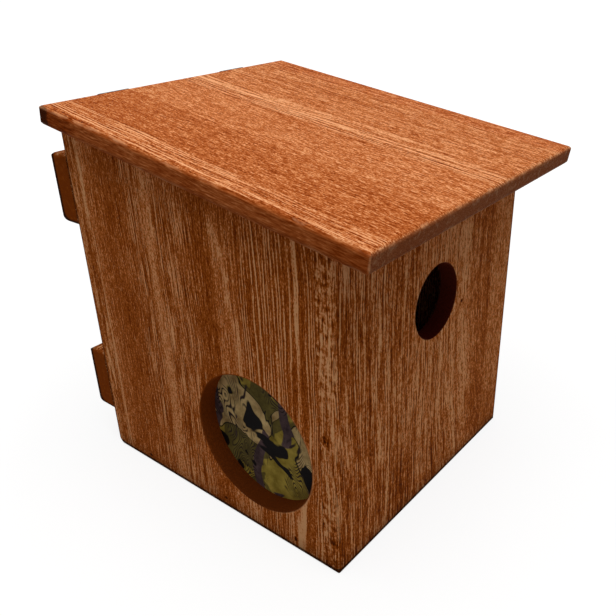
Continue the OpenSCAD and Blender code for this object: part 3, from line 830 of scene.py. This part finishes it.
def leaf(name, height, stand_off, first, head_side):
    """A leaf with its pin on X and its plate standing up, stand_off from the pin's middle to the
    plate. first is its first knuckle, and head_side the side (+1 or -1) of the screw heads."""
    slot_foot = BARREL_RADIUS + KNUCKLE_GAP
    plate_middle = (0, stand_off + LEAF_THICK / 2, (height + slot_foot) / 2)
    piece = start("cube", name, size=1, location=plate_middle,
                  scale=(HINGE_WIDTH, LEAF_THICK, height - slot_foot))
    side = HINGE_WIDTH / 2 - 0.1
    pick("EDGE", lambda edge: middle(edge).z > height - 0.1 and abs(middle(edge).x) > side)
    bpy.ops.mesh.bevel(offset=LEAF_CORNER, segments=6, affect="EDGES")

    pitch = HINGE_WIDTH / KNUCKLES
    own = [pitch * (k + 0.5) - HINGE_WIDTH / 2 for k in range(first, KNUCKLES, 2)]
    reach = (pitch - KNUCKLE_GAP) / 2
    for x in [centre + side * reach for centre in own for side in (-1, 1)]:
        bpy.ops.mesh.select_all(action="SELECT")
        bpy.ops.mesh.bisect(plane_co=(x, 0, 0), plane_no=(1, 0, 0))
    pick("FACE", lambda face: face.normal.z < -0.9
         and any(abs(middle(face).x - x) < reach for x in own))
    pull(0, BARREL_RADIUS - stand_off - LEAF_THICK, -slot_foot)
    bpy.ops.mesh.spin(steps=26, angle=KNUCKLE_CURL, center=(0, 0, 0), axis=(1, 0, 0))
    close_up()
    soften(piece, 0.2)

    face_y = stand_off + LEAF_THICK * (head_side + 1) / 2
    for side in (-1, 1):
        cut(piece, countersink(SMALL_SCREW, (side * SCREW_REACH, face_y, SCREW_DROP),
                               (-head_side * math.pi / 2, 0, 0)))
    smooth(piece)
    return piece


lower_model = leaf("lower_leaf_model", height=AXIS_Z - LEAF_LOW.z,
                   stand_off=AXIS_Y - LEAF_LOW.y - LEAF_THICK, first=0, head_side=-1)
upper_model = leaf("upper_leaf_model", height=BARREL_RADIUS + ROOF_LEAF_RISE,
                   stand_off=BARREL_RADIUS - LEAF_THICK, first=1, head_side=1)
for side, x in zip(SIDES, HINGE_PLACES):
    fit_copy(lower_model, f"{side}_lower_leaf_shaped", (x, AXIS_Y, AXIS_Z), (math.pi, 0, 0),
             HINGE_PAINT, "box", f"{side}_lower_leaf")
    fit_copy(upper_model, f"{side}_upper_leaf_shaped", (x, AXIS_Y, AXIS_Z), (SLOPE, 0, 0),
             HINGE_PAINT, "roof", f"{side}_upper_leaf")
print("leaf faces:", len(lower_model.data.polygons), len(upper_model.data.polygons))

# %% [markdown]
# ## Hinge pins
# The pins are plain wire, hammered over at both ends into low domes that keep them in. A lathe
# profile gives wire and domes in one piece. A plain cylinder would show flat ends, as if sawn.

# %% Pins with hammered ends
PIN_LOW, PIN_HIGH = box_mm("left_hinge_pin")
PIN_RADIUS = 2.0
pin_end = (PIN_HIGH.x - PIN_LOW.x) / 2
pin_side = HINGE_WIDTH / 2
dome = [(0, 0), (1.5, -0.08), (2.3, -0.3), (2.7, -0.6), (2.6, -0.8)]
pin_profile = [(r, z + pin_end) for r, z in dome] + [(PIN_RADIUS, pin_side), (PIN_RADIUS, -pin_side)]
pin_profile += [(r, -z - pin_end) for r, z in reversed(dome)]
pin_model = turned("hinge_pin_model", pin_profile)
smooth(pin_model, 50)
for side, x in zip(SIDES, HINGE_PLACES):
    fit_copy(pin_model, f"{side}_hinge_pin_shaped", (x, AXIS_Y, AXIS_Z), (0, math.pi / 2, 0),
             BLACKENED, "box", f"{side}_hinge_pin")
print("pin faces:", len(pin_model.data.polygons), "length:", round(2 * pin_end, 2))

# %% [markdown]
# ## Screws
# A wood screw has a flat countersunk head with a cross recess, a plain neck and a sharp thread.
# The head and core are turned on the lathe helper. The recess is a small tapered cross, made
# from a cube whose four sides are pulled out, and cut into the head. The thread is a triangle
# wound up by the Screw modifier, sunk in the core so that its ends close inside the metal.

# %% Cross recess
def cross_cutter(radius):
    """A tapered cross, the shape of a driver's tip."""
    width, depth, arm = 0.9, 1.1, 1.1 * radius
    piece = start("cube", "cross", size=1, location=(0, 0, 0.5 - depth / 2),
                  scale=(width, width, 1 + depth))
    for x, y in ((1, 0), (-1, 0), (0, 1), (0, -1)):
        pick("FACE", lambda face: face.normal.dot((x, y, 0)) > 0.9
             and middle(face).xy.length < width / 2 + 0.01)
        pull(x * (arm - width / 2), y * (arm - width / 2), 0)
    pick("VERT", lambda point: point.co.z < 0)
    bpy.ops.transform.resize(value=(0.6, 0.6, 1), center_override=(0, 0, 0))
    bpy.ops.object.mode_set(mode="OBJECT")
    return piece


print("the recess is a cube with its four sides pulled out")

# %% Screws with a head, a neck and a thread
def wound_thread(radius, core, neck, tip):
    """A three-sided ridge wound round the core from the tip up to the neck."""
    pitch = 0.85 * radius
    ridge = 0.42 * pitch
    thread = start("circle", "thread", vertices=3, radius=ridge, location=(core, 0, tip),
                   rotation=(math.pi / 2, math.pi / 2, 0))
    pick("VERT", lambda point: point.co.x > core)
    bpy.ops.transform.translate(value=(radius - core - ridge, 0, 0))
    bpy.ops.object.mode_set(mode="OBJECT")
    finish_with(thread, "SCREW", angle=2 * math.pi, screw_offset=pitch, steps=16, render_steps=16,
                iterations=int((neck - tip - 0.4) / pitch), axis="Z")
    bpy.ops.object.mode_set(mode="EDIT")
    bpy.ops.mesh.select_all(action="SELECT")
    bpy.ops.mesh.fill_holes(sides=3)
    close_up()
    return thread


def screw(name, radius, length):
    """A screw with its head level with Z = 0 and its point down."""
    head, core = 2 * radius, 0.72 * radius
    neck = -radius - 0.28 * (length - radius)
    tip = 2 * radius - length
    piece = turned(name, [(0, 0), (head - 0.15, 0), (head, -0.12), (radius, -radius),
                          (radius, neck), (core, neck - 0.3), (core, tip), (0, -length)], 24)
    cut(piece, cross_cutter(radius))
    thread = wound_thread(radius, core, neck, tip)
    take(piece)
    thread.select_set(True)
    bpy.ops.object.join()
    smooth(piece, 30)
    return piece


CLEAT_SCREW = 2.25
leaf_screw = screw("leaf_screw_model", SMALL_SCREW, length=14)
sheet_screw = screw("sheet_screw_model", SMALL_SCREW, length=10)
cleat_screw = screw("cleat_screw_model", CLEAT_SCREW, length=42)
print("screw faces:", len(leaf_screw.data.polygons), len(cleat_screw.data.polygons))

# %% Screws in the hinge leaves
OUT_OF_BACK = (-math.pi / 2, 0, 0)
OUT_OF_ROOF_EDGE = (SLOPE - math.pi / 2, 0, 0)
face_y = LEAF_LOW.y + LEAF_THICK
rise = Matrix.Rotation(SLOPE, 3, "X") @ Vector((0, BARREL_RADIUS, SCREW_DROP))
for side, hinge_x in zip(SIDES, HINGE_PLACES):
    for hand in (-1, 1):
        label = f"{side}_{'outer' if hand * hinge_x > 0 else 'inner'}"
        x = hinge_x + hand * SCREW_REACH
        fit_copy(leaf_screw, f"lower_leaf_screw_{label}", (x, face_y, AXIS_Z - SCREW_DROP),
                 OUT_OF_BACK, BLACKENED, "box", "lower_leaf_screws")
        fit_copy(leaf_screw, f"upper_leaf_screw_{label}", (x, AXIS_Y + rise.y, AXIS_Z + rise.z),
                 OUT_OF_ROOF_EDGE, BLACKENED, "roof", "upper_leaf_screws")
print("leaf screws reach", SCREW_REACH, "to each side of a hinge's middle")

# %% Screws in the cleats and the sheet
CLEAT_SCREWS = 4
for level in ("upper", "lower"):
    low, high = box_mm(f"{level}_cleat_screws")
    for k, x in enumerate(spread(low.x, high.x, 2 * CLEAT_SCREW, CLEAT_SCREWS)):
        fit_copy(cleat_screw, f"{level}_cleat_screw_{k + 1}", (x, high.y, (low.z + high.z) / 2),
                 OUT_OF_BACK, ZINC, "box", f"{level}_cleat_screws")

low, high = box_mm("window_sheet_screws")
SHEET_SCREW_YS = spread(low.y, high.y, 2 * SMALL_SCREW, 2)
SHEET_SCREW_ZS = spread(low.z, high.z, 2 * SMALL_SCREW, 2)
for y in SHEET_SCREW_YS:
    for z in SHEET_SCREW_ZS:
        label = f"{'front' if y < WINDOW_Y else 'back'}_{'low' if z < WINDOW_Z else 'high'}"
        fit_copy(sheet_screw, f"sheet_screw_{label}", (high.x, y, z), (0, math.pi / 2, 0),
                 ZINC, "box", "window_sheet_screws")
print("sheet screws at y", [round(y, 1) for y in SHEET_SCREW_YS])

# %% [markdown]
# ## Dowels
# Beech dowels are sold with fine flutes along them, which let the glue out of a blind hole, and
# with both ends tapered. Every second strip of a 48-sided rod is pushed in to make the flutes.
# Cutting grooves with 24 boolean cutters would give the same shape, only slower.

# %% Fluted dowels
def dowel(name, radius, length, chamfer, sides=48):
    """A fluted rod along Z."""
    piece = start("cylinder", name, vertices=sides, radius=radius, depth=length - 2 * chamfer)
    for end in (-1, 1):
        pick("FACE", lambda face: face.normal.z * end > 0.9)
        pull(0, 0, end * chamfer)
        shrink = (radius - chamfer) / radius
        bpy.ops.transform.resize(value=(shrink, shrink, 1))
    pick("FACE", lambda face: abs(face.normal.z) < 0.1
         and int(math.atan2(middle(face).y, middle(face).x) % (2 * math.pi) / (2 * math.pi / sides)) % 2)
    bpy.ops.mesh.inset(thickness=0.05, depth=-0.3, use_individual=True)
    close_up()
    smooth(piece, 20)
    return piece


DOWEL_RADIUS, DOWEL_LENGTH = 4.0, 30.0
MIDDLE_DOWEL_RISE = 168
dowel_model = dowel("dowel_model", DOWEL_RADIUS, DOWEL_LENGTH, chamfer=1.0)
middle_z = box_mm("left_side_panel")[0].z + MIDDLE_DOWEL_RISE
for end in ("front", "back"):
    low, high = box_mm(f"{end}_dowels")
    levels = {"low": low.z + DOWEL_RADIUS, "middle": middle_z, "high": high.z - DOWEL_RADIUS}
    for side, x in zip(SIDES, spread(low.x, high.x, DOWEL_RADIUS, 2)):
        for level, z in levels.items():
            fit_copy(dowel_model, f"{end}_dowel_{side}_{level}", (x, (low.y + high.y) / 2, z),
                     (math.pi / 2, 0, 0), BEECH_ALONG_Y, "box", f"{end}_dowels")
low, high = box_mm("floor_dowels")
for side, x in zip(SIDES, spread(low.x, high.x, DOWEL_LENGTH / 2, 2)):
    for level, y in zip(("front", "middle", "back"), spread(low.y, high.y, DOWEL_RADIUS, 3)):
        fit_copy(dowel_model, f"floor_dowel_{side}_{level}", (x, y, (low.z + high.z) / 2),
                 (0, math.pi / 2, 0), BEECH_ALONG_X, "box", "floor_dowels")
print("dowel faces:", len(dowel_model.data.polygons))

# %% [markdown]
# ## The sheet itself
# The sheet is a 3 mm panel, sawn square and rubbed smooth on its edges, with four countersunk
# holes for its screws. Only its printed face shows from outside, but its rounded corners, eased
# edges and screw holes show from inside, so it is shaped as carefully as the hinges.

# %% Printed sheet
low, high = box_mm("window_sheet")
sheet = start("cube", "window_sheet_shaped", size=1, location=(low + high) / 2, scale=high - low)
pick("EDGE", lambda edge: abs(edge.verts[0].co.x - edge.verts[1].co.x) > 1)
bpy.ops.mesh.bevel(offset=2, segments=4, affect="EDGES")
bpy.ops.object.mode_set(mode="OBJECT")
soften(sheet, 0.3)
for y in SHEET_SCREW_YS:
    for z in SHEET_SCREW_ZS:
        cut(sheet, countersink(SMALL_SCREW, (high.x, y, z), (0, math.pi / 2, 0)))
smooth(sheet)
fit_copy(sheet, "printed_sheet", (0, 0, 0), (0, 0, 0), PRINT, "box", "window_sheet")
print("sheet in mm:", [round(value, 2) for value in high - low])

# %% Put the models away
for model in (sheet, dowel_model, leaf_screw, sheet_screw, cleat_screw, pin_model, lower_model,
              upper_model):
    bpy.data.objects.remove(model)

# %% [markdown]
# ## Camera
# The box is seen from its front left corner and from above, close enough for the uprights to
# draw together towards the ground. A camera is easiest to place by the point that it looks at,
# its angles round that point and its distance. Its three axes then fill its matrix directly,
# which also allows the small roll that a hand-held camera has.

# %% Camera
view_azimuth, view_elevation, view_roll = -48.96, 26.65, -2.44
view_distance = 0.70083
aim = Vector((0.002478, -0.002882, 0.145754))


def camera_axes(azimuth, elevation, roll):
    """The camera's right, up and back directions for a view round the object."""
    a, e, r = (math.radians(v) for v in (azimuth, elevation, roll))
    back = Vector((math.sin(a) * math.cos(e), -math.cos(a) * math.cos(e), math.sin(e)))
    right = Vector((0, 0, 1)).cross(back).normalized()
    up = back.cross(right)
    return (right * math.cos(r) + up * math.sin(r), up * math.cos(r) - right * math.sin(r), back)


axes = camera_axes(view_azimuth, view_elevation, view_roll)
camera_data = bpy.data.cameras.new("camera")
camera_data.lens, camera_data.sensor_width = 40.92, 36
camera_data.shift_x, camera_data.shift_y = 0.0012, 0.0041
camera_data.clip_start, camera_data.clip_end = 0.01, 100
camera = bpy.data.objects.new("camera", camera_data)
camera_place = Matrix.Translation(aim + axes[2] * view_distance)
camera.matrix_world = camera_place @ Matrix(axes).transposed().to_4x4()
bpy.context.scene.collection.objects.link(camera)
bpy.context.scene.camera = camera
print("camera at", [round(value, 3) for value in camera.matrix_world.translation])

# %% [markdown]
# ## World, floor and lamp
# The box stands in a white studio under one broad lamp. A white room would also flood the box with
# light and wash out the stain. So the world and the floor look white only to the camera, in gloss
# and through glass, and are dim for all other rays. The floor still takes the box's shadow.

# %% World
scene = bpy.context.scene
scene.view_settings.view_transform = "Standard"
SKY_LEVEL = 0.28


def show_directly(tree, bright, dim, output):
    """Shows the bright shader to the camera, in gloss and through glass, and the dim one to
    all other rays."""
    path = tree.add("LightPath").outputs
    gloss_or_glass = tree.larger(path["Is Glossy Ray"], path["Is Transmission Ray"])
    seen = tree.larger(path["Is Camera Ray"], gloss_or_glass)
    mixer = tree.add("MixShader", [seen, dim.outputs[0], bright.outputs[0]])
    tree.feed(tree.nodes[output].inputs["Surface"], mixer.outputs[0])


scene.world = bpy.data.worlds.new("studio")
studio = Tree("studio", scene.world)
sky = studio.nodes["Background"]
sky.inputs["Color"].default_value = (1.0, 0.98, 0.96, 1)
sky.inputs["Strength"].default_value = SKY_LEVEL
backdrop = studio.add("Background", {"Color": (1, 1, 1, 1), "Strength": 1.0})
show_directly(studio, backdrop, sky, "World Output")
print("sky level:", SKY_LEVEL)

# %% Floor
FLOOR_RADIUS = 14
bpy.ops.object.select_all(action="DESELECT")
bpy.ops.mesh.primitive_circle_add(vertices=96, radius=FLOOR_RADIUS, fill_type="NGON")
floor = bpy.context.object
floor.name = "studio_floor"
ground = Tree("studio_floor")
ground.nodes.remove(ground.shader)
dull = ground.add("BsdfDiffuse", {"Color": (0.25, 0.25, 0.25, 1)})
shadow_catcher = ground.add("BsdfDiffuse", {"Color": (0.22, 0.22, 0.22, 1)})
away = ground.add("VectorMath", [ground.add("TexCoord").outputs["Object"]], operation="LENGTH")
glow = ground.add("Emission", {"Strength": ground.fit(away.outputs["Value"], 0.3, 1.3, 0.85, 1.0)})
both = ground.add("AddShader", [shadow_catcher.outputs[0], glow.outputs[0]])
show_directly(ground, both, dull, "Material Output")
floor.data.materials.append(ground.owner)
print("floor radius:", FLOOR_RADIUS)

# %% Lamp
lamp_data = bpy.data.lights.new("top_lamp", "AREA")
lamp_data.size, lamp_data.energy = 1.6, 28
lamp = bpy.data.objects.new("top_lamp", lamp_data)
lamp.location = (-0.2, -0.3, 2.2)
lamp.rotation_mode = "QUATERNION"
lamp.rotation_quaternion = (Vector((0, 0, 0.2)) - lamp.location).to_track_quat("-Z", "Y")
scene.collection.objects.link(lamp)
print("lamp power:", lamp_data.energy)
